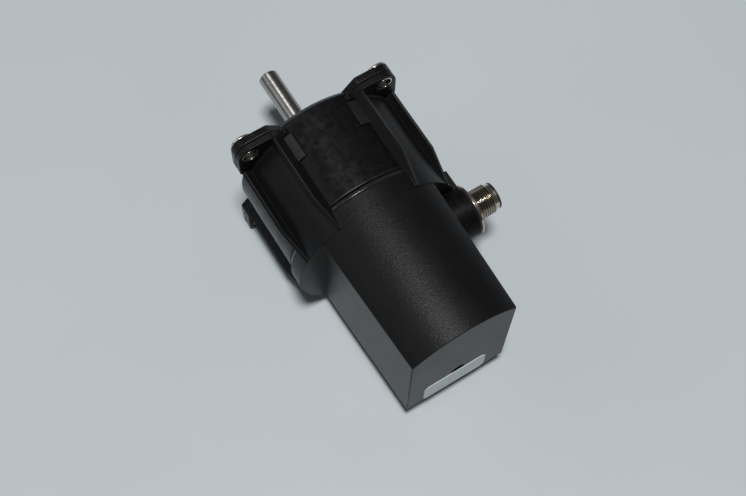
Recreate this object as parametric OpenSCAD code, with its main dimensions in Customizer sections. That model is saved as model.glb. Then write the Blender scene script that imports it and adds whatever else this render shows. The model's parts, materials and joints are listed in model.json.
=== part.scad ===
// Rotary encoder with a corner-lug flange, a long hood and a round side connector.
// +X points out along the shaft, +Z is up as the part lies, and the connector points along -Y.
// x = 0 is the front face of the flange, on the shaft's axis. Lengths are in millimetres.

/* [Flange and mounting bushes] */
// How far the mounting holes lie inside the housing's radius, both ways
hole_inset = 3.9; // [3.4:0.1:4.6]
// Distance from a mounting hole to the flat edge of its lug
lug_edge = 5; // [4.9:0.1:7]
// Radius of a lug's outer corner
lug_corner_r = 6.3; // [5:0.1:8]
// Thickness of the front housing's lugs
flange_t = 3; // [2:0.1:4]
// Thickness of the hood's lugs, which lie behind them
hood_lug_t = 2.8; // [2:0.1:4]
// Hole through a mounting bush
bush_hole_d = 5.3; // [4.3:0.1:5.5]
// Wall of a mounting bush
bush_wall = 0.6; // [0.5:0.05:0.9]
// Width of a bush's collar beyond its wall
bush_collar_w = 1.5; // [0.8:0.1:1.6]
// Height that a bush's collar stands proud of the flange
bush_collar_h = 1; // [0.5:0.1:1.5]

/* [Front housing] */
// Radius of the housing's cylinder
housing_r = 32.4; // [31:0.1:33]
// Length of that cylinder behind the flange's front face
housing_len = 38.2; // [36:0.1:41]
// Slope of the front edge, in from the cylinder and back from the face
front_slope = 1.9; // [1:0.1:2.5]
// Depth of the spigot's wall below the cylinder
spigot_drop = 1.8; // [1.4:0.1:2.2]
// Wall of the spigot and the shell
housing_wall = 2.4; // [1.8:0.1:3]
// Thickness of the front wall
front_wall = 4; // [3:0.1:5]
// Radius of the centring collar round the shaft
collar_r = 18; // [15:0.5:22]
// Height of the centring collar
collar_h = 2.5; // [1.5:0.1:4]
// Wall of the bearing carrier
tube_wall = 3; // [2:0.1:4]
// Depth of the bearing carrier's seat in the front wall
carrier_depth = 2; // [1:0.1:2.4]

/* [Hood] */
// Thickness of the hood's sleeve over the housing
sleeve_t = 1.3; // [1:0.05:1.6]
// Length of the band where the hood meets the housing
band_len = 7; // [6:0.1:9]
// Step from the band down to the hood's top
band_step = 0.3; // [0.2:0.05:0.8]
// Length of the hood's body behind the band
hood_len = 55.7; // [52:0.1:70]
// Width over the flat sides at the band
hood_front_w = 46.6; // [45.5:0.1:48]
// Width over the flat sides at the rear
hood_rear_w = 43; // [42:0.1:45]
// Depth of the flat underside below the axis at the band
hood_front_drop = 25; // [24.8:0.1:27]
// Depth of the flat underside below the axis at the rear
hood_rear_drop = 24.5; // [24.2:0.1:26]
// Wall of the hood's body
hood_wall = 2.2; // [1.8:0.1:2.4]
// Thickness of the hood's rear end
end_wall = 2.5; // [2:0.1:3.5]
// Half width of a bolt channel over its two walls
channel_half = 10.3; // [9.5:0.1:11]
// Thickness of a channel wall
channel_wall = 1.6; // [1.2:0.1:2]
// Distance of a channel wall's edge below the lug's edge
channel_drop = 0.6; // [0.3:0.1:1.2]
// Depth behind the flange's face at which the channel walls start to fall
channel_bend = 32.9; // [28:0.1:36]
// Height of a channel wall's rear tip above the band
channel_tip = 0.7; // [0.3:0.1:1.2]
// Width of a latch tongue beside a channel
latch_w = 3.4; // [2.4:0.1:4]
// Length of a latch tongue
latch_len = 11; // [8:0.1:14]
// Gap between the two layers of a lug
lug_gap = 0.25; // [0.1:0.05:0.4]
// Radius of the moulding dimple in the rear face
dimple_r = 2.8; // [2:0.1:4]
// Depth of that dimple
dimple_depth = 0.6; // [0.3:0.1:1]

/* [Seal and label] */
// Width of the seal bead along the axis
seal_w = 1.7; // [1.4:0.05:2]
// Gap on each side of the seal bead
seal_gap = 0.4; // [0.2:0.05:0.6]
// Width of the label
label_w = 27; // [20:0.5:32]
// Height of the label
label_h = 13; // [9:0.5:14]
// Corner radius of the label
label_r = 2.5; // [1:0.1:4]
// Thickness of the label
label_t = 0.2; // [0.1:0.05:0.3]

/* [Shaft and bearings] */
// Diameter of the shaft's free end
shaft_d = 8; // [6:0.1:9]
// Length of the shaft beyond the flange's face
shaft_reach = 34.7; // [28:0.1:45]
// Chamfer at the shaft's tip
shaft_chamfer = 0.5; // [0.2:0.1:1]
// Bore of the bearings
bearing_bore_d = 10; // [9.6:0.1:10.4]
// Outside diameter of the bearings
bearing_od = 22; // [21.5:0.1:24]
// Width of a bearing
bearing_w = 6; // [5.5:0.1:7]
// Number of balls in a bearing
ball_count = 9; // [7:1:10]
// Diameter of a ball
ball_d = 3.4; // [3:0.1:3.6]
// How much shorter than the housing's cylinder the spacer between the bearings is
spacer_short = 26.2; // [25:0.1:27.5]
// Radius of the shaft seal's pocket
seal_pocket_r = 9; // [8.5:0.1:9.5]
// Depth of the shaft seal's pocket behind the flange's face
seal_pocket_depth = 6; // [5:0.1:7]
// Diameter of the journal that carries the code disc
disc_journal_d = 8; // [7:0.1:8.4]
// Diameter of the journal that carries the pinion
pinion_journal_d = 5; // [4:0.1:5.2]

/* [Code disc, gears and boards] */
// Gap between the code disc and the housing's pillars
disc_gap_r = 2.5; // [1.5:0.1:5]
// Thickness of the code disc
disc_t = 0.8; // [0.5:0.1:1.2]
// Radius of the disc's hub
hub_r = 9; // [8:0.1:11]
// Length of the disc's hub
hub_len = 6; // [5:0.1:8]
// Module of the gears
gear_module = 0.5; // [0.45:0.01:0.52]
// Teeth on a pinion
pinion_teeth = 16; // [15:1:17]
// Teeth on a wheel
wheel_teeth = 40; // [38:1:42]
// Face width of a wheel
wheel_w = 3; // [2:0.1:4]
// Diameter of a gear's pin
gear_pin_d = 3; // [2:0.1:3.4]
// Thickness of a circuit board
board_t = 1.6; // [1:0.1:2]
// Gap between a circuit board's edge and the hood
board_clear = 0.9; // [0.7:0.1:1.5]
// Thickness of a gear plate
plate_t = 1.5; // [1:0.1:2]
// Distance between the main board and the interface board
board_gap = 14.4; // [12:0.1:18]
// Diameter of the screws that hold the stack
stack_screw_d = 2.9; // [2.5:0.1:3]

/* [Connector] */
// Distance from the band's rear edge back to the connector's axis
connector_back = 7.3; // [6:0.1:12]
// Radius of the connector's boss
boss_r = 10.4; // [9.9:0.1:11]
// Height of the boss beyond the sleeve
boss_over = 1.4; // [0.8:0.1:4]
// Outside diameter of the connector's thread
thread_d = 12; // [11:0.5:14]
// Pitch of that thread
thread_pitch = 1; // [0.8:0.05:1.25]
// Turns of that thread
thread_turns = 7; // [5:1:10]
// Radius of the contact pins
contact_r = 0.5; // [0.4:0.05:0.6]
// Distance of the outer contacts from the middle, both ways
contact_pitch = 1.9; // [1.7:0.05:2.1]
// Width of the board that joins the contacts to the interface board
link_w = 12; // [9:0.5:14]
// Thickness of that board
link_t = 1; // [0.8:0.1:1.6]

/* [Hidden] */
$fn = 72;
slip = 0.1;
snug = 0.02;
running = 0.05;
eps = 0.01;

// Flange and housing
bolt_half = housing_r - hole_inset;
flange_half = bolt_half + lug_edge;
bush_r = bush_hole_d / 2 + bush_wall;
bush_collar_r = bush_r + bush_collar_w;
lug_half = channel_half + 0.2;
spigot_r = housing_r - spigot_drop;
shell_r = spigot_r - housing_wall;
x_lug = -flange_t;
x_lug_rear = x_lug - hood_lug_t;
x_housing = -housing_len;
x_band = x_housing - seal_w - 2 * seal_gap;
x_band_rear = x_band - band_len;
x_hood_rear = x_band_rear - hood_len;
x_spigot = x_band_rear + hood_wall + 0.3;

// Hood
sleeve_in = housing_r + slip;
sleeve_r = sleeve_in + sleeve_t;
hood_r = sleeve_r - band_step;
front_half = hood_front_w / 2;
rear_half = hood_rear_w / 2;
channel_top = flange_half * sqrt(2) - channel_half - channel_drop;
channel_end = sqrt(sleeve_r * sleeve_r - channel_half * channel_half) + channel_tip;
cavity_end = x_hood_rear + end_wall;
label_z = -(hood_rear_drop - 1.2 - label_h / 2);

// Bearings and shaft
bore_r = bearing_bore_d / 2;
seat_r = bearing_od / 2;
tube_r = seat_r + tube_wall;
x_carrier = carrier_depth - front_wall;
ball_r = ball_d / 2;
pitch_r = (bore_r + seat_r) / 2;
race_gap = 2.6;
lip_t = 1;
lip_r = bore_r + 2;
spacer_len = housing_len - spacer_short;
x_bearing_1 = -(seal_pocket_depth + lip_t);
x_bearing_2 = x_bearing_1 - bearing_w - spacer_len;
x_bearing_end = x_bearing_2 - bearing_w;
circlip_t = 1;
circlip_depth = 0.35;
washer_h = 1.1;
washer_t = 0.6;
x_washer = x_bearing_end - 0.05;
x_bore_clip = x_washer - washer_h - 0.05;
x_tube = x_bore_clip - circlip_t - 1.6;
x_shaft_step = x_tube + 1.6;
x_shoulder = 1.5;

// Code disc and the stack of plates and boards
x_hub = x_tube - 0.6;
x_disc = x_hub - hub_len;
x_disc_rear = x_disc - disc_t;
hub_screw_r = 1.5;
x_hub_screw = x_hub - hub_len / 2;
chip_t = 0.85;
sensor_w = 8;
disc_gap = 0.35;
x_sensor_board = x_disc_rear - disc_gap - chip_t;
x_plate_1 = x_sensor_board - board_t - 5.8;
x_wheel_1 = x_plate_1 - plate_t - 1.2;
x_wheel_2 = x_wheel_1 - wheel_w - 1;
x_magnet = x_wheel_2 - wheel_w;
magnet_h = 2.6;
magnet_r = 6;
x_plate_2 = x_magnet - magnet_h - 0.8;
x_main_board = x_plate_2 - plate_t - 3.5;
x_interface_board = x_main_board - board_t - board_gap;
x_screw_head = x_interface_board - board_t;
screw_r = stack_screw_d / 2;
screw_head_r = screw_r + 1.3;
screw_head_h = 2.8;
screw_grip = 12;
spacer_r = screw_r + 1.5;
pillar_r = spacer_r + 0.9;
board_half_w = rear_half - hood_wall - board_clear;
column_r = shell_r - spacer_r - 0.44;
column_y = board_half_w - spacer_r + 0.5;
column_top = sqrt(column_r * column_r - column_y * column_y);
column_bottom = -min(hood_rear_drop - hood_wall - spacer_r - board_clear, column_top);
disc_r = norm([column_y, column_bottom]) - pillar_r - disc_gap_r;
columns = [
    [column_y, column_top],
    [-column_y, column_top],
    [column_y, column_bottom],
    [-column_y, column_bottom]
];
board_top = column_top + spacer_r + 1.6;
board_bottom = column_bottom - spacer_r - 0.3;
board_r = shell_r - 0.4;
cap_r = 4;
cap_h = 7;
chip_w = 12;
reader_w = 6;
driver_w = 6;
converter_w = 14;
header_w = 9;

// Gears
pressure_angle = 25;
backlash = 0.04;
pinion_pitch_r = gear_module * pinion_teeth / 2;
wheel_pitch_r = gear_module * wheel_teeth / 2;
gear_distance = pinion_pitch_r + wheel_pitch_r;
gear_pin_r = gear_pin_d / 2;
gear_bore_r = gear_pin_r + running;
pinion_journal_r = pinion_journal_d / 2;
x_pinion_end = x_wheel_2 + 0.6;

// Connector
x_conn = x_band_rear - connector_back;
boss_face = sleeve_r + boss_over;
gasket_t = 0.5;
flange_plate_t = 0.8;
collar_len = 1.6;
tip_len = 1.6;
rim_t = 0.7;
thread_r = thread_d / 2;
thread_depth = 0.61 * thread_pitch;
shank_r = boss_r - 2.3;
insert_r = thread_r - 1;
socket_r = insert_r - 0.7;
socket_floor = 4;
s_plate = gasket_t;
s_collar = s_plate + flange_plate_t;
s_thread = s_collar + collar_len;
s_tip = s_thread + thread_turns * thread_pitch;
s_end = s_tip + tip_len;
s_wall = -(boss_face - hood_half(x_conn) + hood_wall);
nut_h = 3;
s_nut = s_wall - 0.6;
s_shank = s_nut - nut_h - 0.4;
s_insert = s_shank - 0.3;
s_pins = s_insert - link_t - 0.3;
contacts = [
    [contact_pitch, contact_pitch],
    [contact_pitch, -contact_pitch],
    [0, 0],
    [-contact_pitch, contact_pitch],
    [-contact_pitch, -contact_pitch]
];
link_y = -(boss_face + s_insert);
socket_t = 1.5;
socket_len = 5;
notch_y = link_y + link_t + socket_t + 1.5;
notch_half = boss_r + 1.1;

// Half width of the hood over its flats, and depth of its underside, at a place x
function hood_share(x) = (x_band_rear - x) / hood_len;
function hood_half(x) = front_half + (rear_half - front_half) * hood_share(x);
function hood_drop(x) = hood_front_drop + (hood_rear_drop - hood_front_drop) * hood_share(x);

// Involute of an angle, and half the angle of a tooth at radius r
function involute(a) = (tan(a) - a * PI / 180) * 180 / PI;
function tooth_half(r, rp, rb, teeth) =
    90 / teeth + involute(pressure_angle) - involute(acos(min(1, rb / r))) - backlash / rp * 180 / PI;

// Extrudes a drawing of the Y-Z plane from x0 up to x1
module along_x(x0, x1) {
    translate([x0, 0, 0]) rotate([90, 0, 90]) linear_extrude(x1 - x0) children();
}

// Turns a drawing of radius against x about the X axis
module turned() {
    rotate([0, 90, 0]) rotate_extrude() children();
}

// Tube about the X axis from x0 up to x1
module tube(outer, inner, x0, x1) {
    turned() translate([inner, x0]) square([outer - inner, x1 - x0]);
}

// Rod along X at a place in the Y-Z plane, from x0 up to x1
module rod(r, x0, x1, at = [0, 0]) {
    translate([x0, at[0], at[1]]) rotate([0, 90, 0]) cylinder(r = r, h = x1 - x0);
}

// Puts a piece of the connector on its boss, with its own Z pointing out along -Y
module on_boss() {
    translate([x_conn, -boss_face, 0]) rotate([90, 0, 0]) children();
}

// Repeats a piece for the four corners, starting at the diagonal between +Y and +Z
module corners() {
    for (turn = [0 : 3]) rotate([90 * turn, 0, 0]) children();
}

// Rectangle with round corners, drawn about its middle
module round_rect(w, h, r) {
    square([w, h - 2 * r], center = true);
    square([w - 2 * r, h], center = true);
    for (sy = [-1, 1], sz = [-1, 1]) translate([sy * (w / 2 - r), sz * (h / 2 - r)]) circle(r);
}

// Strip along the diagonal of the first corner, from one side distance to another
module diagonal_strip(v0, v1) {
    rotate(45) translate([0, v0]) square([2 * flange_half, v1 - v0]);
}

// Outline of one corner lug
module lug_outline() {
    intersection() {
        round_rect(2 * flange_half, 2 * flange_half, lug_corner_r);
        diagonal_strip(-lug_half, lug_half);
    }
}

module bush_holes(r) {
    corners() rod(r, x_lug_rear - 1, 1, [bolt_half, bolt_half]);
}

module housing_profile() {
    edge = 0.4;
    polygon([
        [seal_pocket_r + snug, collar_h],
        [collar_r - edge, collar_h],
        [collar_r, collar_h - edge],
        [collar_r, 0],
        [housing_r - front_slope, 0],
        [housing_r, -front_slope],
        [housing_r, x_housing + edge],
        [housing_r - edge, x_housing],
        [spigot_r, x_housing],
        [spigot_r, x_spigot],
        [shell_r, x_spigot],
        [shell_r, -front_wall],
        [tube_r + snug, -front_wall],
        [tube_r + snug, x_carrier],
        [seal_pocket_r + snug, x_carrier]
    ]);
}

module front_housing() color([0.04, 0.04, 0.045]) difference() {
    union() {
        turned() housing_profile();
        corners() along_x(x_lug, 0) difference() {
            lug_outline();
            circle(housing_r - front_slope - 0.5);
        }
        for (c = columns) rod(pillar_r, x_sensor_board, -front_wall + eps, c);
    }
    bush_holes(bush_r + snug);
    for (c = columns) rod(screw_r + snug, x_sensor_board - 1, x_sensor_board + screw_grip + 1, c);
}

module bearing_carrier() color([0.7, 0.7, 0.68]) turned() polygon([
    [seal_pocket_r + snug, x_carrier],
    [tube_r, x_carrier],
    [tube_r, x_tube],
    [seat_r + snug, x_tube],
    [seat_r + snug, x_bore_clip - circlip_t - eps],
    [seat_r + 0.6, x_bore_clip - circlip_t - eps],
    [seat_r + 0.6, x_bore_clip + eps],
    [seat_r + snug, x_bore_clip + eps],
    [seat_r + snug, x_bearing_1],
    [lip_r, x_bearing_1],
    [lip_r, -seal_pocket_depth],
    [seal_pocket_r + snug, -seal_pocket_depth]
]);

// Envelope of the hood's body, drawn in by a wall, from its rear x0 up to x1
module hood_envelope(inset, x0, x1) {
    intersection() {
        rod(hood_r - inset, x0, x1);
        translate([0, 0, -2 * hood_r]) linear_extrude(4 * hood_r) polygon([
            [x0, -hood_half(x0) + inset],
            [x1, -hood_half(x1) + inset],
            [x1, hood_half(x1) - inset],
            [x0, hood_half(x0) - inset]
        ]);
        translate([0, 2 * hood_r, 0]) rotate([90, 0, 0]) linear_extrude(4 * hood_r) polygon([
            [x0, -hood_drop(x0) + inset],
            [x1, -hood_drop(x1) + inset],
            [x1, 2 * hood_r],
            [x0, 2 * hood_r]
        ]);
    }
}

// Openings between the channels, each a wedge from the axis that leaves the channels standing
module sleeve_windows(half, x0, x1) {
    apex = half * sqrt(2);
    reach = 2 * flange_half;
    corners() along_x(x0, x1) polygon([[0, apex], [reach, apex + reach], [-reach, apex + reach]]);
}

// Channel wall as a plate beside the diagonal, which falls from the bend to its tip
module channel_wall_plate(y0) {
    foot = sqrt(sleeve_r * sleeve_r - channel_half * channel_half) - 1;
    rotate([45, 0, 0]) translate([0, y0 + channel_wall, 0]) rotate([90, 0, 0])
        linear_extrude(channel_wall) polygon([
            [x_lug - lug_gap - 0.5, foot],
            [x_lug - lug_gap - 0.5, channel_top],
            [-channel_bend, channel_top],
            [x_band_rear + 0.1, channel_end],
            [x_band_rear + 0.1, foot]
        ]);
}

// Hook in front of a latch tongue, a small block against the lug
module latch_hook(y0) {
    top = sqrt(sleeve_r * sleeve_r - (channel_half + 1.4) * (channel_half + 1.4)) + 0.4;
    rotate([45, 0, 0]) translate([x_lug_rear - 0.2, y0, top - 3])
        cube([hood_lug_t - lug_gap - 0.1, latch_w - 0.6, 3]);
}

module hood_sleeve() {
    x_latch = x_lug_rear - 0.4;
    difference() {
        rod(sleeve_r, x_band_rear, x_lug - lug_gap);
        sleeve_windows(channel_half - 0.3, x_band, x_lug);
    }
    difference() {
        rod(sleeve_r - 0.4, x_latch - latch_len, x_latch);
        sleeve_windows(channel_half + latch_w, x_latch - latch_len - 1, x_latch + 1);
    }
    corners() {
        channel_wall_plate(channel_half - channel_wall);
        channel_wall_plate(-channel_half);
        latch_hook(channel_half - 0.2);
        latch_hook(-channel_half + 0.8 - latch_w);
        along_x(x_lug_rear, x_lug - lug_gap) difference() {
            lug_outline();
            circle(sleeve_r - 0.5);
        }
    }
}

module rear_hood() color([0.09, 0.09, 0.095]) difference() {
    pad_half = 7.5;
    pad_len = 8.2;
    union() {
        hood_sleeve();
        hood_envelope(0, x_hood_rear, x_band_rear + 0.5);
        on_boss() translate([0, 0, s_wall + hood_wall / 2])
            cylinder(r = boss_r, h = -s_wall - hood_wall / 2);
        translate([x_band_rear - 2, -boss_face, -pad_half])
            cube([pad_len + 2, boss_face - sleeve_r + 2, 2 * pad_half]);
    }
    rod(sleeve_in, x_band, 1);
    rod(spigot_r + slip, x_band_rear + hood_wall, x_band + 1);
    hood_envelope(hood_wall, cavity_end, x_band_rear + hood_wall + 0.5);
    bush_holes(bush_r + snug);
    on_boss() translate([0, 0, s_wall - 3]) cylinder(r = shank_r + snug, h = 4 - s_wall);
    rod(dimple_r, x_hood_rear - 1, x_hood_rear + dimple_depth, [0, label_z + label_h / 2 + 1]);
}

module housing_seal() color([0.02, 0.02, 0.02]) turned() {
    edge = seal_w * 0.3;
    x0 = x_band + seal_gap;
    height = sleeve_in - spigot_r - 2 * snug;
    translate([spigot_r + snug, x0]) square([height - edge, seal_w]);
    translate([spigot_r + snug, x0 + edge]) square([height, seal_w - 2 * edge]);
    for (x = [x0 + edge, x0 + seal_w - edge]) translate([spigot_r + snug + height - edge, x]) circle(edge);
}

module mounting_bushes() color([0.75, 0.73, 0.7])
    corners() translate([0, bolt_half, bolt_half]) turned() polygon([
        [bush_hole_d / 2, x_lug_rear],
        [bush_hole_d / 2, bush_collar_h],
        [bush_collar_r - 0.3, bush_collar_h],
        [bush_collar_r, bush_collar_h - 0.3],
        [bush_collar_r, 0],
        [bush_r, 0],
        [bush_r, x_lug_rear]
    ]);

module rear_label() color([0.86, 0.9, 0.92])
    along_x(x_hood_rear - label_t, x_hood_rear)
        translate([1, label_z]) round_rect(label_w, label_h, label_r);

module encoder_shaft() color([0.62, 0.62, 0.6]) turned() polygon([
    [0, x_pinion_end],
    [pinion_journal_r, x_pinion_end],
    [pinion_journal_r, x_disc_rear],
    [disc_journal_d / 2, x_disc_rear],
    [disc_journal_d / 2, x_shaft_step],
    [bore_r, x_shaft_step],
    [bore_r, x_bearing_end - circlip_t - 0.05],
    [bore_r - circlip_depth, x_bearing_end - circlip_t - 0.05],
    [bore_r - circlip_depth, x_bearing_end - 0.05],
    [bore_r, x_bearing_end - 0.05],
    [bore_r, x_bearing_1 + 0.05],
    [bore_r - circlip_depth, x_bearing_1 + 0.05],
    [bore_r - circlip_depth, x_bearing_1 + circlip_t + 0.05],
    [bore_r, x_bearing_1 + circlip_t + 0.05],
    [bore_r, x_shoulder],
    [shaft_d / 2, x_shoulder],
    [shaft_d / 2, shaft_reach - shaft_chamfer],
    [shaft_d / 2 - shaft_chamfer, shaft_reach],
    [0, shaft_reach]
]);

module shaft_seal() color([0.05, 0.05, 0.05]) turned() polygon([
    [bore_r + running, -2],
    [bore_r + 0.8, -1],
    [seal_pocket_r - 1, -1],
    [seal_pocket_r - 1, -1 + 0.4],
    [seal_pocket_r, -1 + 0.4],
    [seal_pocket_r, -seal_pocket_depth + 0.1],
    [seal_pocket_r - 1.2, -seal_pocket_depth + 0.1],
    [seal_pocket_r - 1.2, -2.4],
    [bore_r + 1.2, -2.4],
    [bore_r + 0.6, -3.2],
    [bore_r + running, -3]
]);

module bearing_spacer() color([0.6, 0.6, 0.58])
    tube(bore_r + 1.5, bore_r + eps, x_bearing_2, x_bearing_1 - bearing_w);

module shaft_circlips() color([0.2, 0.2, 0.2])
    for (x = [x_bearing_1 + 0.05, x_bearing_end - circlip_t - 0.05])
        tube(bore_r + 1.2, bore_r - circlip_depth + snug, x, x + circlip_t);

module bearing_circlip() color([0.2, 0.2, 0.2])
    tube(seat_r + 0.6 - snug, seat_r - 1.9, x_bore_clip - circlip_t, x_bore_clip);

module preload_washer() color([0.5, 0.5, 0.48]) turned() polygon([
    [seat_r - 2.2, x_washer - washer_h],
    [seat_r - 0.3, x_washer - washer_t],
    [seat_r - 0.3, x_washer],
    [seat_r - 2.2, x_washer - washer_h + washer_t]
]);

// Bearing rings about x = 0, open towards the balls between them
module bearing_ring(inner, outer) {
    turned() difference() {
        translate([inner, 0]) square([outer - inner, bearing_w]);
        translate([pitch_r, bearing_w / 2]) circle(ball_r + 0.03);
    }
}

module bearing_outer(x) color([0.7, 0.7, 0.68])
    translate([x - bearing_w, 0, 0]) bearing_ring(pitch_r + race_gap / 2, seat_r);

module bearing_inner(x) color([0.7, 0.7, 0.68])
    translate([x - bearing_w, 0, 0]) bearing_ring(bore_r + eps, pitch_r - race_gap / 2);

module at_balls(x) {
    for (i = [0 : ball_count - 1])
        rotate([360 / ball_count * i, 0, 0]) translate([x - bearing_w / 2, 0, pitch_r]) children();
}

module bearing_balls(x) color([0.8, 0.8, 0.8]) at_balls(x) sphere(ball_r);

module bearing_cage(x) color([0.7, 0.62, 0.35]) difference() {
    half = race_gap / 2 - 0.2;
    tube(pitch_r + half, pitch_r - half, x - bearing_w + 0.4, x - bearing_w / 2 - 0.5);
    at_balls(x) sphere(ball_r + running);
}

module front_bearing_outer() bearing_outer(x_bearing_1);
module front_bearing_inner() bearing_inner(x_bearing_1);
module front_bearing_balls() bearing_balls(x_bearing_1);
module front_bearing_cage() bearing_cage(x_bearing_1);
module rear_bearing_outer() bearing_outer(x_bearing_2);
module rear_bearing_inner() bearing_inner(x_bearing_2);
module rear_bearing_balls() bearing_balls(x_bearing_2);
module rear_bearing_cage() bearing_cage(x_bearing_2);

module disc_hub() color([0.75, 0.62, 0.3]) difference() {
    tube(hub_r, disc_journal_d / 2 + eps, x_disc, x_hub);
    translate([x_hub_screw, 0, 0]) cylinder(r = hub_screw_r + eps, h = hub_r + 1);
}

module hub_screw() color([0.25, 0.25, 0.25])
    translate([x_hub_screw, 0, disc_journal_d / 2 + running])
        difference() {
            cylinder(r = hub_screw_r, h = hub_r - disc_journal_d / 2 - 0.4);
            translate([0, 0, hub_r - disc_journal_d / 2 - 1.6]) cylinder(r = 0.8, h = 2, $fn = 6);
        }

module code_disc() color([0.7, 0.8, 0.85])
    tube(disc_r, disc_journal_d / 2 + running, x_disc_rear, x_disc);

// Outline shared by the boards and the gear plates, with its screw holes
module stack_outline(notched) {
    difference() {
        intersection() {
            translate([-board_half_w, board_bottom]) square([2 * board_half_w, board_top - board_bottom]);
            circle(board_r);
        }
        for (c = columns) translate(c) circle(screw_r + slip);
        if (notched) translate([-2 * board_half_w, -notch_half])
            square([2 * board_half_w + notch_y, 2 * notch_half]);
    }
}

module sensor_board() color([0.05, 0.3, 0.15])
    along_x(x_sensor_board - board_t, x_sensor_board) difference() {
        stack_outline(true);
        circle(disc_journal_d / 2 + 1);
    }

module sensor_chip() color([0.08, 0.08, 0.08])
    along_x(x_sensor_board, x_sensor_board + chip_t)
        translate([-sensor_w / 2, disc_r - sensor_w]) square([sensor_w, sensor_w * 3 / 4]);

// Gear drawn with its first tooth along the first axis
module gear(teeth) {
    rp = gear_module * teeth / 2;
    rb = rp * cos(pressure_angle);
    tip = rp + gear_module;
    root = rp - 1.25 * gear_module;
    start = max(root, rb);
    radii = [root, start + eps, (2 * start + tip) / 3, (start + 2 * tip) / 3, tip];
    last = len(radii) - 1;
    polygon([
        for (i = [0 : teeth - 1], k = [0 : 2 * last + 1])
            let (
                rising = k <= last,
                r = rising ? radii[k] : radii[2 * last + 1 - k],
                half = tooth_half(max(r, start + eps), rp, rb, teeth),
                a = 360 / teeth * i + (rising ? -half : half)
            )
            [r * cos(a), r * sin(a)]
    ]);
}

module drive_pinion() color([0.8, 0.68, 0.35])
    along_x(x_wheel_1 - wheel_w - 0.2, x_wheel_1 + 0.2) difference() {
        rotate(90) gear(pinion_teeth);
        circle(pinion_journal_r + eps);
    }

module idler_gear() color([0.85, 0.83, 0.75]) translate([0, 0, gear_distance]) difference() {
    union() {
        along_x(x_wheel_1 - wheel_w, x_wheel_1) rotate(270 + 180 / wheel_teeth) gear(wheel_teeth);
        along_x(x_wheel_2 - wheel_w - 0.2, x_wheel_1 - wheel_w + eps) rotate(270) gear(pinion_teeth);
    }
    rod(gear_bore_r, x_wheel_2 - wheel_w - 1, x_wheel_1 + 1);
}

module output_gear() color([0.85, 0.83, 0.75]) difference() {
    union() {
        along_x(x_wheel_2 - wheel_w, x_wheel_2) rotate(90 + 180 / wheel_teeth) gear(wheel_teeth);
        rod(magnet_r - 2.5, x_magnet - magnet_h, x_magnet + eps);
    }
    rod(gear_bore_r, x_magnet - magnet_h - 1, x_wheel_2 + 1);
}

module output_magnet() color([0.3, 0.3, 0.32])
    tube(magnet_r, magnet_r - 2.5 + eps, x_magnet - magnet_h, x_magnet);

module gear_pins() color([0.7, 0.7, 0.68]) {
    rod(gear_pin_r, x_plate_2 - plate_t, x_plate_1, [0, gear_distance]);
    rod(gear_pin_r, x_plate_2 - plate_t, x_wheel_2 + 0.2);
}

module front_gear_plate() color([0.75, 0.75, 0.72])
    along_x(x_plate_1 - plate_t, x_plate_1) difference() {
        stack_outline(true);
        circle(pinion_journal_r + 1);
        translate([0, gear_distance]) circle(gear_pin_r + eps);
    }

module rear_gear_plate() color([0.75, 0.75, 0.72])
    along_x(x_plate_2 - plate_t, x_plate_2) difference() {
        stack_outline(true);
        circle(gear_pin_r + eps);
        translate([0, gear_distance]) circle(gear_pin_r + eps);
    }

module stack_spacers() color([0.8, 0.8, 0.78]) {
    gaps = [
        [x_plate_1, x_sensor_board - board_t],
        [x_plate_2, x_plate_1 - plate_t],
        [x_main_board, x_plate_2 - plate_t],
        [x_interface_board, x_main_board - board_t]
    ];
    for (c = columns, g = gaps) translate([0, c[0], c[1]]) tube(spacer_r, screw_r + slip, g[0], g[1]);
}

module stack_screws() color([0.55, 0.55, 0.53])
    for (c = columns) difference() {
        union() {
            rod(screw_r, x_screw_head - eps, x_sensor_board + screw_grip, c);
            rod(screw_head_r, x_screw_head - screw_head_h, x_screw_head, c);
        }
        translate([x_screw_head - screw_head_h - eps, c[0], c[1]]) rotate([0, 90, 0])
            cylinder(r = screw_r * 0.9, h = screw_head_h / 2, $fn = 6);
    }

module main_board() color([0.05, 0.3, 0.15])
    along_x(x_main_board - board_t, x_main_board) stack_outline(true);

module main_board_parts() color([0.1, 0.1, 0.1]) {
    along_x(x_main_board, x_main_board + reader_w / 5) square(reader_w, center = true);
    along_x(x_main_board - board_t - chip_w / 8, x_main_board - board_t)
        translate([-chip_w / 6, chip_w / 3]) square(chip_w);
    along_x(x_main_board - board_t - driver_w / 5, x_main_board - board_t)
        translate([driver_w, -driver_w * 4 / 3]) square([driver_w * 5 / 6, driver_w]);
}

module interface_board() color([0.05, 0.3, 0.15])
    along_x(x_interface_board - board_t, x_interface_board) stack_outline(false);

module interface_board_parts() color([0.1, 0.1, 0.1]) {
    for (y = [2 * cap_r, -cap_r])
        rod(cap_r, x_interface_board - board_t - cap_h, x_interface_board - board_t, [y, 3 * cap_r]);
    along_x(x_interface_board - board_t - converter_w / 8, x_interface_board - board_t)
        translate([-converter_w * 0.6, -converter_w * 2 / 3]) square([converter_w, converter_w * 0.7]);
}

module board_header() color([0.06, 0.06, 0.06])
    along_x(x_interface_board, x_main_board - board_t)
        translate([header_w / 4, board_bottom + header_w / 2.5]) square([header_w, header_w / 1.8]);

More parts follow.
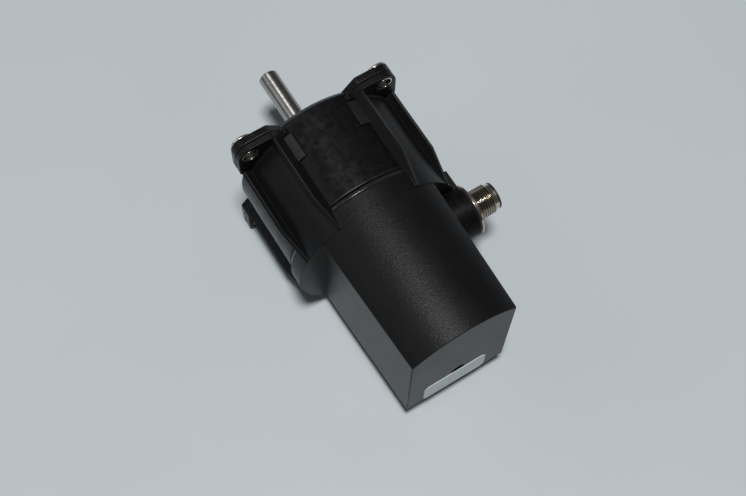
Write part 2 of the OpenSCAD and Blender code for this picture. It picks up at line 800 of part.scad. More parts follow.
// Thread drawn as radius against height, with one crest for each turn
module thread_profile() {
    crest = thread_pitch / 8;
    root = thread_pitch / 4;
    slope = (thread_pitch - crest - root) / 2;
    polygon(concat(
        [[insert_r + snug, s_thread]],
        [for (i = [0 : thread_turns - 1], k = [0 : 3])
            let (s = s_thread + i * thread_pitch)
            [
                k == 0 || k == 3 ? thread_r - thread_depth : thread_r,
                s + root / 2 + [0, slope, slope + crest, 2 * slope + crest][k]
            ]
        ],
        [[thread_r - thread_depth, s_tip], [insert_r + snug, s_tip]]
    ));
}

module connector_shell() color([0.72, 0.7, 0.66]) on_boss() {
    rotate_extrude() {
        thread_profile();
        translate([insert_r + snug, s_tip - eps])
            square([thread_r - thread_depth - insert_r - snug, tip_len]);
        translate([insert_r + snug, s_collar - eps])
            square([thread_r - insert_r + 0.7, collar_len + 2 * eps]);
        translate([insert_r + snug, s_plate]) square([boss_r - 0.2 - insert_r, flange_plate_t]);
        translate([insert_r + snug, s_shank]) square([shank_r - insert_r - snug, s_plate - s_shank + eps]);
    }
}

module connector_gasket() color([0.03, 0.03, 0.03]) on_boss()
    rotate_extrude() translate([shank_r + snug, 0]) square([boss_r - 0.4 - shank_r, gasket_t]);

module connector_nut() color([0.72, 0.7, 0.66]) on_boss()
    translate([0, 0, s_nut - nut_h]) difference() {
        cylinder(r = shank_r + 2.2, h = nut_h, $fn = 6);
        translate([0, 0, -1]) cylinder(r = shank_r + snug, h = nut_h + 2);
    }

module contact_insert() color([0.03, 0.03, 0.03]) on_boss() difference() {
    union() {
        rotate_extrude() {
            translate([0, s_insert]) square([insert_r, socket_floor - s_insert]);
            translate([socket_r, socket_floor - eps])
                square([insert_r - socket_r, s_end - socket_floor + rim_t]);
            translate([socket_r, s_end + snug]) square([thread_r - thread_depth - socket_r, rim_t - snug]);
        }
        translate([-0.6, socket_r - 0.7, socket_floor - eps]) cube([1.2, 0.9, s_tip - socket_floor]);
    }
    for (c = contacts) translate([c[0], c[1], s_insert - 1])
        cylinder(r = contact_r + snug, h = socket_floor - s_insert + 2);
}

module contact_pins() color([0.85, 0.68, 0.3]) on_boss()
    for (c = contacts) translate([c[0], c[1], s_pins]) {
        cylinder(r = contact_r, h = s_tip - s_pins - contact_r);
        translate([0, 0, s_tip - s_pins - contact_r]) sphere(contact_r);
    }

module connector_board() color([0.05, 0.3, 0.15]) difference() {
    translate([x_interface_board + 1, link_y, -link_w / 2])
        cube([x_conn + link_w / 2 - x_interface_board - 1, link_t, link_w]);
    on_boss() for (c = contacts) translate([c[0], c[1], s_pins - 1])
        cylinder(r = contact_r + snug, h = link_t + 2);
}

module board_socket() color([0.9, 0.88, 0.8]) difference() {
    translate([x_interface_board, link_y - socket_t, -link_w / 2 - socket_t])
        cube([socket_len, link_t + 2 * socket_t, link_w + 2 * socket_t]);
    translate([x_interface_board + 1 - snug, link_y - snug, -link_w / 2 - snug])
        cube([socket_len, link_t + 2 * snug, link_w + 2 * snug]);
}

front_housing();
rear_hood();
housing_seal();
mounting_bushes();
rear_label();
encoder_shaft();
shaft_seal();
bearing_carrier();
bearing_spacer();
shaft_circlips();
bearing_circlip();
preload_washer();
front_bearing_outer();
front_bearing_inner();
front_bearing_balls();
front_bearing_cage();
rear_bearing_outer();
rear_bearing_inner();
rear_bearing_balls();
rear_bearing_cage();
disc_hub();
hub_screw();
code_disc();
sensor_board();
sensor_chip();
drive_pinion();
idler_gear();
output_gear();
output_magnet();
gear_pins();
front_gear_plate();
rear_gear_plate();
stack_spacers();
stack_screws();
main_board();
main_board_parts();
interface_board();
interface_board_parts();
board_header();
connector_shell();
connector_gasket();
connector_nut();
contact_insert();
contact_pins();
connector_board();
board_socket();
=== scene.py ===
# Rotary encoder, dressed for Blender: camera, floor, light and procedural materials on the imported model.
import heapq
import json
import math

import bmesh
import bpy
from mathutils import Matrix, Vector
from mathutils.geometry import intersect_point_line


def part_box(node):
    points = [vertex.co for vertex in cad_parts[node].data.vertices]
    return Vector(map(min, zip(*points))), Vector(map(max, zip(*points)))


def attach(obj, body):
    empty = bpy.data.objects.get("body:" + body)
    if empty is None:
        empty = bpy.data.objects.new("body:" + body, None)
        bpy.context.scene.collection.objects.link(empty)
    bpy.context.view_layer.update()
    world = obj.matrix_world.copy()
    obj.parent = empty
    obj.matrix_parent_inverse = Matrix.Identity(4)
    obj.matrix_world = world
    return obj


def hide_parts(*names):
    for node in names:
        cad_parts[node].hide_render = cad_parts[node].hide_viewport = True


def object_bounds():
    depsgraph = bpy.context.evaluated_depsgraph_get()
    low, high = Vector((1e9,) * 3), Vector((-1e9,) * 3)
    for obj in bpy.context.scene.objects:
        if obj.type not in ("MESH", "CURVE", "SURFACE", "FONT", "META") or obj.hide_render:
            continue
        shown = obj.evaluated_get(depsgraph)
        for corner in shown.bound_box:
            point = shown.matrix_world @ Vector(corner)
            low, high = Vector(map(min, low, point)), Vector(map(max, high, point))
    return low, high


MM = 0.001
STEP = 0.01 * MM
IMAGE_W = 746

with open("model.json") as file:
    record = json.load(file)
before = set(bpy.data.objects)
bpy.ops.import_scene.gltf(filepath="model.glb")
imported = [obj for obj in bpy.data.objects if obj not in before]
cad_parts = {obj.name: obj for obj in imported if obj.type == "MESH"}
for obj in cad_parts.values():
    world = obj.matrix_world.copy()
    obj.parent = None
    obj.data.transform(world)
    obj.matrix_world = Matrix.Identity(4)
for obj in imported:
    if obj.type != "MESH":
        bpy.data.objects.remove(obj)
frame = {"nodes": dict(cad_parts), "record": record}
nodes = frame["nodes"]
cad_box = [list(c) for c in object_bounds()]
slots = {entry["node"]: entry["material_slot"] for entry in frame["record"]["subparts"]}
mounts = {mount["name"]: mount["dims"] for mount in frame["record"]["mounts"]}
scene = bpy.context.scene
scene.view_settings.view_transform = "Standard"

# Camera, in the part's frame: fitted to the edges of the object in the photograph
EYE = Vector((-205.82, 107.66, 450.07)) * MM
TARGET = Vector((-49.44, 3.27, 0.0)) * MM
ROLL = math.radians(-2.0)
FOCAL_PX = 1305.2
SENSOR_W = 36.0


def add_camera():
    data = bpy.data.cameras.new("camera")
    data.sensor_fit = "HORIZONTAL"
    data.sensor_width = SENSOR_W
    data.lens = FOCAL_PX * SENSOR_W / IMAGE_W
    data.clip_start = 0.01
    data.clip_end = 20.0
    camera = bpy.data.objects.new("camera", data)
    back = (EYE - TARGET).normalized()
    right = (-back).cross(Vector((0, 0, 1))).normalized()
    down = (-back).cross(right)
    x = right * math.cos(ROLL) + down * math.sin(ROLL)
    y = right * math.sin(ROLL) - down * math.cos(ROLL)
    camera.matrix_world = Matrix.Translation(EYE) @ Matrix((x, y, back)).transposed().to_4x4()
    scene.collection.objects.link(camera)
    scene.camera = camera


# Materials
class Shader:
    """A Principled material whose inputs are fed by procedural textures in object space."""

    def __init__(self, name, metallic=0.0, specular=0.5):
        self.material = bpy.data.materials.new(name)
        self.material.use_nodes = True
        self.tree = self.material.node_tree
        self.tree.nodes.clear()
        self.bsdf = self.add("ShaderNodeBsdfPrincipled")
        self.bsdf.inputs["Metallic"].default_value = metallic
        self.bsdf.inputs["Specular IOR Level"].default_value = specular
        out = self.add("ShaderNodeOutputMaterial")
        self.link(self.bsdf.outputs["BSDF"], out.inputs["Surface"])
        self.coords = self.add("ShaderNodeTexCoord").outputs["Object"]

    def add(self, kind, **settings):
        node = self.tree.nodes.new(kind)
        for key, value in settings.items():
            setattr(node, key, value)
        return node

    def link(self, source, target):
        self.tree.links.new(source, target)

    def stretched(self, scale):
        node = self.add("ShaderNodeMapping")
        node.inputs["Scale"].default_value = scale
        self.link(self.coords, node.inputs["Vector"])
        return node.outputs["Vector"]

    def noise(self, scale, detail=3.0, rough=0.55, stretch=None):
        node = self.add("ShaderNodeTexNoise")
        node.inputs["Scale"].default_value = scale
        node.inputs["Detail"].default_value = detail
        node.inputs["Roughness"].default_value = rough
        self.link(self.stretched(stretch) if stretch else self.coords, node.inputs["Vector"])
        return node.outputs["Fac"]

    def vector_math(self, operation, vector, other=None):
        node = self.add("ShaderNodeVectorMath", operation=operation)
        self.link(vector, node.inputs[0])
        if other is not None:
            node.inputs[1].default_value = other
        return node.outputs["Value" if operation == "LENGTH" else "Vector"]

    def radius(self, axis_point, across, mirrored=False):
        """Distance from an axis; across is 1 on the two coordinates that it is measured in."""
        start = self.vector_math("ABSOLUTE", self.coords) if mirrored else self.coords
        away = self.vector_math("SUBTRACT", start, axis_point)
        return self.vector_math("LENGTH", self.vector_math("MULTIPLY", away, across))

    def place(self, letter):
        node = self.add("ShaderNodeSeparateXYZ")
        self.link(self.coords, node.inputs["Vector"])
        return node.outputs[letter]

    def maximum(self, first, second):
        node = self.add("ShaderNodeMath", operation="MAXIMUM")
        self.link(first, node.inputs[0])
        self.link(second, node.inputs[1])
        return node.outputs["Value"]

    def ramp(self, fac, stops):
        node = self.add("ShaderNodeValToRGB")
        elements = node.color_ramp.elements
        while len(elements) < len(stops):
            elements.new(0.5)
        for element, (place, colour) in zip(elements, stops):
            element.position = place
            element.color = (*colour, 1.0)
        self.link(fac, node.inputs["Fac"])
        return node.outputs["Color"]

    def tones(self, fac, colour, dark, pale):
        """A colour that swings between two shades of itself."""
        return self.ramp(fac, [(0.3, shade(colour, dark)), (0.7, shade(colour, pale))])

    def spread(self, fac, low, high, start=0.3, end=0.7):
        node = self.add("ShaderNodeMapRange")
        node.inputs["From Min"].default_value = start
        node.inputs["From Max"].default_value = end
        node.inputs["To Min"].default_value = low
        node.inputs["To Max"].default_value = high
        self.link(fac, node.inputs["Value"])
        return node.outputs["Result"]

    def colour(self, socket):
        self.link(socket, self.bsdf.inputs["Base Color"])

    def roughness(self, socket):
        self.link(socket, self.bsdf.inputs["Roughness"])

    def bump(self, *heights):
        """Stacked bumps, each given as its height, its strength and its depth in millimetres."""
        normal = None
        for height, strength, depth in heights:
            node = self.add("ShaderNodeBump")
            node.inputs["Strength"].default_value = strength
            node.inputs["Distance"].default_value = depth * MM
            self.link(height, node.inputs["Height"])
            if normal:
                self.link(normal, node.inputs["Normal"])
            normal = node.outputs["Normal"]
        self.link(normal, self.bsdf.inputs["Normal"])


def shade(colour, factor):
    return tuple(min(1.0, channel * factor) for channel in colour)


def moulded(name, colour, rough, grain, depth, swing=0.25, specular=0.5):
    """Moulded plastic: fine grain in the surface, a slow change of tone and gloss over it."""
    skin = Shader(name, specular=specular)
    slow = skin.noise(90, detail=4)
    fine = skin.noise(grain, detail=0)
    gloss_swing = 0.25 * swing
    skin.colour(skin.tones(slow, colour, 1 - swing, 1 + swing))
    skin.roughness(skin.spread(slow, rough - gloss_swing, rough + gloss_swing))
    skin.bump((fine, 0.6, depth))
    return skin.material


def scuffed(name, colour, rough, specular=0.25):
    """Smoother moulding with flow marks, rubbed patches and fine scratches."""
    skin = Shader(name, specular=specular)
    patches = skin.noise(280, detail=9, rough=0.7)
    rubs = skin.noise(750, detail=6, rough=0.75, stretch=(0.6, 1.0, 1.0))
    scratches = skin.noise(900, detail=2, stretch=(0.05, 1.0, 1.0))
    fine = skin.noise(1800, detail=2)
    skin.colour(skin.ramp(rubs, [(0.45, shade(colour, 0.7)), (0.58, colour), (0.7, shade(colour, 2.6))]))
    skin.roughness(skin.spread(patches, rough - 0.1, rough + 0.16))
    skin.bump((fine, 0.4, 0.05), (rubs, 0.35, 0.06), (scratches, 0.12, 0.02))
    return skin.material


def worn_edge(name, colour, rough, specular):
    """Edge of a moulding, rubbed paler in places."""
    skin = Shader(name, specular=specular)
    rub = skin.noise(350, detail=4)
    fine = skin.noise(2600, detail=2)
    skin.colour(skin.ramp(rub, [(0.35, shade(colour, 0.55)), (0.65, colour)]))
    skin.roughness(skin.spread(rub, rough - 0.08, rough + 0.08))
    skin.bump((fine, 0.3, 0.03))
    return skin.material


SHADE_FADE = 0.2 * MM


def painted_hollow_shade(skin, colour, axis, dark_r, unshaded_r, darkness, unshaded_y=None):
    """Colour of metal with painted shade near an axis, standing for the shade of its hollows, and its own
    colour further out and everywhere beyond a given Y.
    """
    # Painted shade: the colour darkens towards the axis, where the hollows are
    unshaded = skin.spread(skin.radius(*axis), 0, 1, dark_r, unshaded_r)
    if unshaded_y is not None:
        beyond = skin.spread(skin.place("Y"), 1, 0, unshaded_y - SHADE_FADE, unshaded_y)
        unshaded = skin.maximum(unshaded, beyond)
    half_shaded = (1 + darkness) / 2
    stops = [(0.0, shade(colour, darkness)), (0.45, shade(colour, half_shaded)), (1.0, shade(colour, 1.05))]
    return skin.ramp(unshaded, stops)


def turned_metal(name, colour, rough, stretch, scale=3200, depth=0.004, ground=0.0, shade_in_hollows=None):
    """Metal with fine tool marks along one direction and a slow change of tone, or painted shade in its
    hollows.

    ground draws out its gloss along X, and the last argument holds the axis, radii and darkness of the
    painted shade in its hollows.
    """
    skin = Shader(name, metallic=1.0)
    if ground:
        skin.bsdf.inputs["Anisotropic"].default_value = ground
        skin.bsdf.inputs["Anisotropic Rotation"].default_value = 0.25
        around = skin.add("ShaderNodeTangent", direction_type="RADIAL", axis="X")
        skin.link(around.outputs["Tangent"], skin.bsdf.inputs["Tangent"])
    marks = skin.noise(scale, detail=3, stretch=stretch)
    if shade_in_hollows:
        skin.colour(painted_hollow_shade(skin, colour, **shade_in_hollows))
    else:
        skin.colour(skin.tones(skin.noise(140, detail=3), colour, 0.86, 1.08))
    skin.roughness(skin.spread(marks, rough - 0.06, rough + 0.1))
    skin.bump((marks, 0.35, depth))
    return skin.material


def rubber(name, colour, rough):
    """Moulded rubber, slightly uneven in tone and gloss."""
    skin = Shader(name)
    slow = skin.noise(200, detail=3)
    fine = skin.noise(3000, detail=2)
    skin.colour(skin.tones(slow, colour, 0.8, 1.25))
    skin.roughness(skin.spread(slow, rough - 0.05, rough + 0.08))
    skin.bump((fine, 0.2, 0.01))
    return skin.material


def film(name, colour, rough):
    """Label film: a faint brushed sheen, slightly uneven, left bare."""
    skin = Shader(name)
    streaks = skin.noise(900, detail=3, stretch=(1.0, 0.06, 1.0))
    slow = skin.noise(120, detail=3)
    skin.colour(skin.tones(slow, colour, 0.93, 1.03))
    skin.roughness(skin.spread(streaks, rough - 0.08, rough + 0.1))
    skin.bump((streaks, 0.15, 0.01), (slow, 0.1, 0.05))
    return skin.material


def laminate(name, colour):
    """Circuit board: woven glass under solder mask."""
    skin = Shader(name)
    weave = skin.noise(2200, detail=1, stretch=(1.0, 1.0, 0.4))
    slow = skin.noise(160, detail=3)
    skin.colour(skin.tones(slow, colour, 0.75, 1.2))
    skin.roughness(skin.spread(weave, 0.3, 0.45))
    skin.bump((weave, 0.3, 0.01))
    return skin.material


def clear_disc(name, dark, pale):
    """Glass disc with faint concentric tracks."""
    skin = Shader(name)
    waves = skin.add("ShaderNodeTexWave", wave_type="RINGS", rings_direction="X")
    waves.inputs["Scale"].default_value = 300
    skin.link(skin.coords, waves.inputs["Vector"])
    skin.colour(skin.ramp(waves.outputs["Fac"], [(0.3, dark), (0.7, pale)]))
    skin.roughness(skin.spread(skin.noise(300), 0.04, 0.1))
    skin.bsdf.inputs["Transmission Weight"].default_value = 0.8
    skin.bsdf.inputs["IOR"].default_value = 1.5
    return skin.material


def middle_of(node):
    low, high = (Vector(corner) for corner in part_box(node))
    return (low + high) / 2


# Tool marks that run round X, round Y, along Y or every way
ROUND_X = (1.0, 0.02, 0.02)
ROUND_Y = (0.02, 1.0, 0.02)
ROLLED = (1.0, 0.05, 1.0)
PLAIN = (1.0, 1.0, 1.0)

BOLT_HALF = mounts["mounting_holes"]["spacing_x_mm"] / 2 * MM
BOLT_R = mounts["mounting_holes"]["hole_r_mm"] * MM
BUSH_WALL = 0.6 * MM

# Painted shade, with grime, at the root of the connector's thread, and painted shade in the bores of the
# bushes
THREAD_GRIME_AND_SHADE = {
    "axis": (middle_of("connector_shell"), (1.0, 0.0, 1.0)),
    "dark_r": 5.3 * MM,
    "unshaded_r": 5.9 * MM,
    "darkness": 0.2,
    "unshaded_y": -44.9 * MM,
}
# Painted shade inside the bores of the bushes
BORE_PAINTED_SHADE = {
    "axis": ((0.0, BOLT_HALF, BOLT_HALF), (0.0, 1.0, 1.0), True),
    "dark_r": BOLT_R,
    "unshaded_r": BOLT_R + BUSH_WALL,
    "darkness": 0.5,
}

BLACK = (0.005, 0.005, 0.0055)
MATERIALS = {
    "front_moulding": scuffed("front_moulding", BLACK, rough=0.3),
    "hood_moulding": moulded(
        "hood_moulding", BLACK, 0.37, grain=3400, depth=0.095, swing=0.08, specular=0.24),
    "seal_rubber": rubber("seal_rubber", (0.014, 0.014, 0.015), rough=0.2),
    # Bushes with painted shade in their bores
    "bush_steel": turned_metal(
        "bush_steel", (0.78, 0.75, 0.7), 0.26, ROUND_X, depth=0.0015, shade_in_hollows=BORE_PAINTED_SHADE),
    "label_film": film("label_film", (0.6, 0.66, 0.68), rough=0.42),
    "shaft_steel": turned_metal("shaft_steel", (0.46, 0.447, 0.43), 0.3, ROUND_X, 7000, 0.0015, ground=0.75),
    "bearing_steel": turned_metal("bearing_steel", (0.7, 0.7, 0.69), 0.2, ROUND_X),
    "cage_brass": turned_metal("cage_brass", (0.7, 0.55, 0.25), 0.35, PLAIN, scale=800),
    "spring_steel": turned_metal("spring_steel", (0.24, 0.24, 0.25), 0.35, PLAIN, scale=900),
    "hub_brass": turned_metal("hub_brass", (0.75, 0.58, 0.25), 0.28, ROUND_X),
    "disc_glass": clear_disc("disc_glass", (0.62, 0.75, 0.8), (0.85, 0.92, 0.95)),
    "board_laminate": laminate("board_laminate", (0.02, 0.13, 0.06)),
    "chip_plastic": moulded("chip_plastic", (0.03, 0.03, 0.032), 0.55, grain=2500, depth=0.03),
    "gear_plastic": moulded("gear_plastic", (0.75, 0.7, 0.58), 0.45, grain=1800, depth=0.02, swing=0.08),
    "pinion_brass": turned_metal("pinion_brass", (0.78, 0.6, 0.26), 0.25, PLAIN, scale=1500),
    "magnet_core": turned_metal("magnet_core", (0.3, 0.3, 0.32), 0.4, ROUND_X, scale=1500),
    "plate_aluminium": turned_metal("plate_aluminium", (0.75, 0.75, 0.74), 0.35, ROLLED, scale=1800),
    "screw_steel": turned_metal("screw_steel", (0.55, 0.55, 0.54), 0.3, ROUND_X),
    # Painted shade and grime in the roots of the thread
    "connector_nickel": turned_metal(
        "connector_nickel", (0.62, 0.56, 0.47), 0.15, ROUND_Y, scale=2400, shade_in_hollows=THREAD_GRIME_AND_SHADE),
    "insert_plastic": moulded("insert_plastic", (0.008, 0.008, 0.008), 0.45, grain=2200, depth=0.03),
    "contact_gold": turned_metal("contact_gold", (0.85, 0.64, 0.25), 0.2, ROUND_Y, scale=2000),
    "plug_plastic": moulded("plug_plastic", (0.78, 0.75, 0.66), 0.5, grain=2000, depth=0.03, swing=0.08),
}
HOOD_EDGE = worn_edge("hood_edge", (0.009, 0.009, 0.0095), rough=0.45, specular=0.17)
FRONT_EDGE = worn_edge("front_edge", (0.014, 0.014, 0.0145), rough=0.4, specular=0.3)
BOSS_SKIN = scuffed("boss_skin", BLACK, rough=0.34, specular=0.1)
LATCH_SKIN = moulded(
    "latch_skin", (0.008, 0.008, 0.0085), 0.52, grain=2600, depth=0.14, swing=0.1, specular=0.4)


def dress_nodes():
    for name, slot in slots.items():
        mesh = nodes[name].data
        mesh.materials.clear()
        mesh.materials.append(MATERIALS[slot])


def add_piece(name, mesh):
    piece = bpy.data.objects.new(name, mesh)
    scene.collection.objects.link(piece)
    return piece


def stand_in(piece, body, node):
    """Puts a piece in the place of a CAD node, on that node's body, and hides the node."""
    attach(piece, body)
    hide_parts(node)


# Rounded copies of the mouldings: what counts as sharp, flat or one curve, and how far edges are cut
SHARP_ANGLE = math.radians(28)
FLAT_ANGLE = math.radians(0.4)
SAME_CURVE = math.radians(60)
WELD = 0.001 * MM
ROUND_SEGMENTS = 3
CUT_SHARE = 0.4
CUT_SLOPE = 0.3
LEAST_SLANT = 0.2

# Cosines that tell edges which run on or lie ahead, and faces that agree, stand sideways or look out
RUNS_ON = -0.77
AHEAD = 0.7
SHARED_NORMAL = 0.6
ACROSS_AXIS = 0.3
OUTWARDS = 0.5

# Places of the hood's patches: margins of the boss round the gasket, spans of the latch strips in mm
BOSS_INNER = 0.5 * MM
BOSS_OUTER = 0.7 * MM
BOSS_DEPTH = 0.5 * MM
LATCH_ALONG = (-17.3, -6.0)
LATCH_ACROSS = (10.0, 17.0)
LATCH_OUT = (28.0, 34.0)


def nearest_on(edge, point):
    start, end = (vert.co for vert in edge.verts)
    near, share = intersect_point_line(point, start, end)
    return start if share < 0 else end if share > 1 else near


def gap_beside(edge, other):
    """Least distance from an edge to one beside it; one that only lies ahead of it doesn't count."""
    along = (edge.verts[1].co - edge.verts[0].co).normalized()
    reaches = [nearest_on(other, vert.co) - vert.co for vert in edge.verts]
    reaches += [vert.co - nearest_on(edge, vert.co) for vert in other.verts]
    beside = [reach.length for reach in reaches if abs(reach.dot(along)) < AHEAD * reach.length]
    return min(beside, default=math.inf)


def edge_room(edge):
    """How far an edge can be cut back before the cut meets another edge of its faces."""
    room = math.inf
    for vert in edge.verts:
        along = (edge.other_vert(vert).co - vert.co).normalized()
        for other in vert.link_edges:
            reach = other.other_vert(vert).co - vert.co
            turn = along.dot(reach.normalized())
            if other is not edge and turn > RUNS_ON:
                slant = math.sqrt(max(0.0, 1 - turn * turn))
                room = min(room, reach.length * max(LEAST_SLANT, slant))
    for face in edge.link_faces:
        for other in face.edges:
            if not set(other.verts) & set(edge.verts):
                room = min(room, gap_beside(edge, other))
    return room


def even_cuts(cuts):
    """Cuts that change only slowly from one edge of a curve to the next, so that their ends still meet."""
    queue = [(cut, edge.index, edge) for edge, cut in cuts.items()]
    heapq.heapify(queue)
    while queue:
        cut, _, edge = heapq.heappop(queue)
        if cut > cuts[edge]:
            continue
        for vert in edge.verts:
            along = vert.co - edge.other_vert(vert).co
            for other in vert.link_edges:
                if other is edge or other not in cuts:
                    continue
                onward = other.other_vert(vert).co - vert.co
                turn = along.angle(onward, 0.0)
                if turn < SAME_CURVE:
                    most = cut + CUT_SLOPE * min(along.length, onward.length) * math.sin(turn)
                    if cuts[other] > most:
                        cuts[other] = most
                        heapq.heappush(queue, (most, other.index, other))
    return cuts


def smooth_by_region(mesh, limit):
    """Normals that run on over one curved face, end at its edges, and turn only within the rounded edges."""
    bm = bmesh.new()
    bm.from_mesh(mesh)
    close = math.cos(limit)
    normals = []
    for face in bm.faces:
        for loop in face.loops:
            around = [other for other in loop.vert.link_loops if other.face.material_index == 0]
            if face.material_index == 0:
                around = [other for other in around if other.face.normal.dot(face.normal) > close]
            elif not around or min(other.face.normal.dot(around[0].face.normal) for other in around) < close:
                around = [
                    other for other in loop.vert.link_loops
                    if other.face.normal.dot(face.normal) > SHARED_NORMAL]
            total = sum((other.face.normal * other.calc_angle() for other in around), Vector())
            normals.append(total.normalized() if total.length > 1e-9 else face.normal.copy())
    bm.free()
    mesh.normals_split_custom_set(normals)


def on_boss(face):
    """Whether a face of the hood is on the boss that carries the connector."""
    low, high = (Vector(corner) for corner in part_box("connector_gasket"))
    middle = (low + high) / 2
    gasket_r = (high.x - low.x) / 2
    reach = math.hypot(face.center.x - middle.x, face.center.z - middle.z)
    side = abs(face.normal.y) < ACROSS_AXIS and reach > gasket_r - BOSS_INNER
    return reach < gasket_r + BOSS_OUTER and (side or face.center.y < high.y + BOSS_DEPTH)


def within(value, span):
    return span[0] < value < span[1]


def on_latch(face):
    """Whether a face of the hood is the outer face of one of the latch strips beside the channels."""
    x, y, z = (place / MM for place in face.center)
    across, out = sorted((abs(y), abs(z)))
    away = Vector((0.0, y, z)).normalized()
    on_strip = within(x, LATCH_ALONG) and within(across, LATCH_ACROSS) and within(out, LATCH_OUT)
    return on_strip and face.normal.dot(away) > OUTWARDS


def marked_mesh(node, width):
    """A copy of a CAD node's mesh, whose sharp edges are marked with the share of width to cut from each."""
    bm = bmesh.new()
    bm.from_mesh(nodes[node].data)
    bmesh.ops.remove_doubles(bm, verts=bm.verts, dist=WELD)
    bmesh.ops.dissolve_limit(bm, angle_limit=FLAT_ANGLE, verts=bm.verts, edges=bm.edges)
    weight = bm.edges.layers.float.new("bevel_weight_edge")
    bm.edges.index_update()
    sharp = [edge for edge in bm.edges if edge.is_manifold and edge.calc_face_angle(0.0) > SHARP_ANGLE]
    cuts = even_cuts({edge: min(width, CUT_SHARE * edge_room(edge)) for edge in sharp})
    for edge, cut in cuts.items():
        edge[weight] = cut / width
    mesh = bpy.data.meshes.new(node + "_soft")
    bm.to_mesh(mesh)
    bm.free()
    mesh.polygons.foreach_set("use_smooth", [True] * len(mesh.polygons))
    return mesh


def round_edges(piece, width):
    """Rounds the marked edges of a piece, with its second material on the new faces."""
    bevel = piece.modifiers.new("rounded", "BEVEL")
    bevel.width = width
    bevel.segments = ROUND_SEGMENTS
    bevel.limit_method = "WEIGHT"
    bevel.use_clamp_overlap = False
    bevel.material = 1
    rounded = piece.evaluated_get(bpy.context.evaluated_depsgraph_get())
    piece.data = bpy.data.meshes.new_from_object(rounded)
    piece.modifiers.clear()


def softened(node, body, edge_finish, width, patches=()):
    """A copy of a CAD node with rounded edges; each patch is a test of a face and the finish it gets."""
    mesh = marked_mesh(node, width)
    mesh.materials.append(MATERIALS[slots[node]])
    mesh.materials.append(edge_finish)
    piece = add_piece(node + "_soft", mesh)
    round_edges(piece, width)
    smooth_by_region(piece.data, SHARP_ANGLE)
    for belongs, finish in patches:
        piece.data.materials.append(finish)
        for face in piece.data.polygons:
            if face.material_index == 0 and belongs(face):
                face.material_index = len(piece.data.materials) - 1
    stand_in(piece, body, node)


# Finer copies of the turned pieces
SAME_RUN = math.radians(20)
CORNER_SHARE = 0.35


def everywhere(point):
    return True


def first_corner(point):
    """Whether a point is in the corner where Y and Z are positive, with one of the four bushes."""
    return point.y > 0 and point.z > 0


def profile_of(mesh, axis, keep):
    """Profile of a turned solid, its origin, and whether it is closed.

    Its points are the place along the axis and the radius.
    """
    kept = [vert for vert in mesh.vertices if keep(vert.co)]
    low = Vector([min(vert.co[i] for vert in kept) for i in range(3)])
    high = Vector([max(vert.co[i] for vert in kept) for i in range(3)])
    origin = Vector([round(place / STEP) * STEP for place in (low + high) / 2])
    rings = []
    ring_of = {}
    for vert in kept:
        offset = vert.co - origin
        place = offset.dot(axis)
        spot = Vector((place, (offset - place * axis).length))
        match = next((i for i, ring in enumerate(rings) if (ring - spot).length < STEP), len(rings))
        if match == len(rings):
            rings.append(spot)
        ring_of[vert.index] = match
    links = [set() for _ in rings]
    for edge in mesh.edges:
        first, second = (ring_of.get(i) for i in edge.vertices)
        if first is not None and second is not None and first != second:
            links[first].add(second)
            links[second].add(first)
    ends = [i for i, near in enumerate(links) if len(near) == 1]
    walk = [ends[0] if ends else 0]
    while True:
        onward = [i for i in sorted(links[walk[-1]]) if i not in walk]
        if not onward:
            break
        walk.append(onward[0])
    return [rings[i] for i in walk], origin, not ends


def rounded_profile(points, closed, width):
    """Profile with its corners cut back to short curves.

    Each point comes with whether the step after it is such a curve.
    """
    if not closed:
        points = [Vector((points[0].x, 0.0)), *points, Vector((points[-1].x, 0.0))]
    count = len(points)
    result = []
    for i, corner in enumerate(points):
        if not closed and i in (0, count - 1):
            continue
        before, after = points[i - 1] - corner, points[(i + 1) % count] - corner
        if math.pi - before.angle(after) < SAME_RUN:
            result.append((corner, False))
            continue
        cut = min(width, CORNER_SHARE * before.length, CORNER_SHARE * after.length)
        start = corner + before.normalized() * cut
        end = corner + after.normalized() * cut
        result += [(start, True), ((start + 2 * corner + end) / 4, True), (end, False)]
    return result


def lathe(bm, profile, closed, segments, place):
    """Adds a profile turned into a solid; place gives the spot of a profile's point at a share of a turn."""
    rings = []
    for point, _ in profile:
        rings.append([bm.verts.new(place(point, k / segments)) for k in range(segments)])
    for i in range(len(rings) if closed else len(rings) - 1):
        near, far = rings[i], rings[(i + 1) % len(rings)]
        for k in range(segments):
            face = bm.faces.new((near[k - 1], near[k], far[k], far[k - 1]))
            face.material_index = 1 if profile[i][1] else 0
    if not closed:
        bm.faces.new(rings[0])
        bm.faces.new(rings[-1])


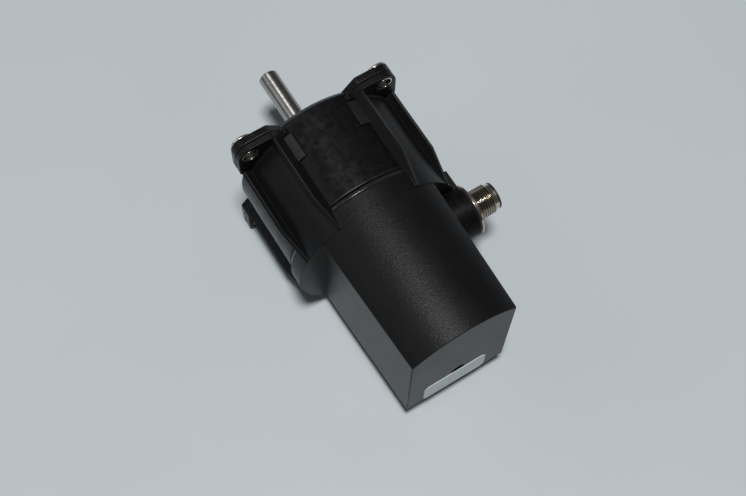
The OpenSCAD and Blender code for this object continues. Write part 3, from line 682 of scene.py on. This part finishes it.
def turned_copy(node, body, axis, width, segments=96, keep=everywhere, copies=1):
    """A copy of a turned CAD node with a finer round and small curves on its edges, repeated about X."""
    axis = Vector(axis)
    side = axis.orthogonal().normalized()
    points, origin, closed = profile_of(nodes[node].data, axis, keep)
    profile = rounded_profile(points, closed, width)
    bm = bmesh.new()
    for copy in range(copies):
        about = Matrix.Rotation(2 * math.pi * copy / copies, 3, "X")

        def place(point, turn):
            out = Matrix.Rotation(2 * math.pi * turn, 3, axis) @ side
            return about @ (origin + axis * point.x + out * point.y)

        lathe(bm, profile, closed, segments, place)
    bmesh.ops.recalc_face_normals(bm, faces=bm.faces)
    for face in bm.faces:
        face.smooth = True
    mesh = bpy.data.meshes.new(node + "_turned")
    bm.to_mesh(mesh)
    bm.free()
    # The second slot has the same finish: it only tells the small curves from the rest
    mesh.materials.append(MATERIALS[slots[node]])
    mesh.materials.append(MATERIALS[slots[node]])
    smooth_by_region(mesh, SAME_RUN)
    stand_in(add_piece(node + "_turned", mesh), body, node)


# Floor and light
FLOOR_SIZE = 8.0
FLOOR_TONES = [(0.3, (0.45, 0.495, 0.515)), (0.7, (0.475, 0.515, 0.535))]
LAMP_AIM = Vector((-40, 0, 0)) * MM
WORLD_COLOUR = (0.95, 0.97, 1.0, 1.0)
WORLD_LEVEL = 0.07


def add_floor():
    bpy.ops.mesh.primitive_plane_add(size=FLOOR_SIZE, location=(0, 0, cad_box[0][2]))
    floor = bpy.context.object
    floor.name = "floor"
    skin = Shader("floor", specular=0.3)
    skin.colour(skin.ramp(skin.noise(6, detail=2), FLOOR_TONES))
    skin.roughness(skin.spread(skin.noise(30), 0.55, 0.65))
    floor.data.materials.append(skin.material)


def add_area(name, direction, distance, size, power):
    data = bpy.data.lights.new(name, "AREA")
    data.shape = "DISK"
    data.size = size
    data.energy = power
    lamp = bpy.data.objects.new(name, data)
    away = Vector(direction).normalized()
    lamp.location = LAMP_AIM + away * distance
    lamp.rotation_mode = "QUATERNION"
    lamp.rotation_quaternion = away.to_track_quat("Z", "Y")
    scene.collection.objects.link(lamp)


def add_light():
    add_area("key", direction=(-0.12, 0.06, 0.99), distance=3.0, size=0.55, power=85.0)
    add_area("fill", direction=(0.5, 0.75, 0.6), distance=1.4, size=0.9, power=1.2)
    world = bpy.data.worlds.new("world")
    world.use_nodes = True
    background = world.node_tree.nodes["Background"]
    background.inputs["Color"].default_value = WORLD_COLOUR
    background.inputs["Strength"].default_value = WORLD_LEVEL
    scene.world = world


dress_nodes()
softened("rear_hood", "casing", HOOD_EDGE, 0.45 * MM, patches=((on_boss, BOSS_SKIN), (on_latch, LATCH_SKIN)))
softened("front_housing", "casing", FRONT_EDGE, 0.35 * MM)
turned_copy("encoder_shaft", "shaft", (1, 0, 0), 0.12 * MM)
turned_copy("connector_shell", "casing", (0, -1, 0), 0.1 * MM)
turned_copy("mounting_bushes", "casing", (1, 0, 0), 0.12 * MM, segments=64, keep=first_corner, copies=4)
add_camera()
add_floor()
add_light()
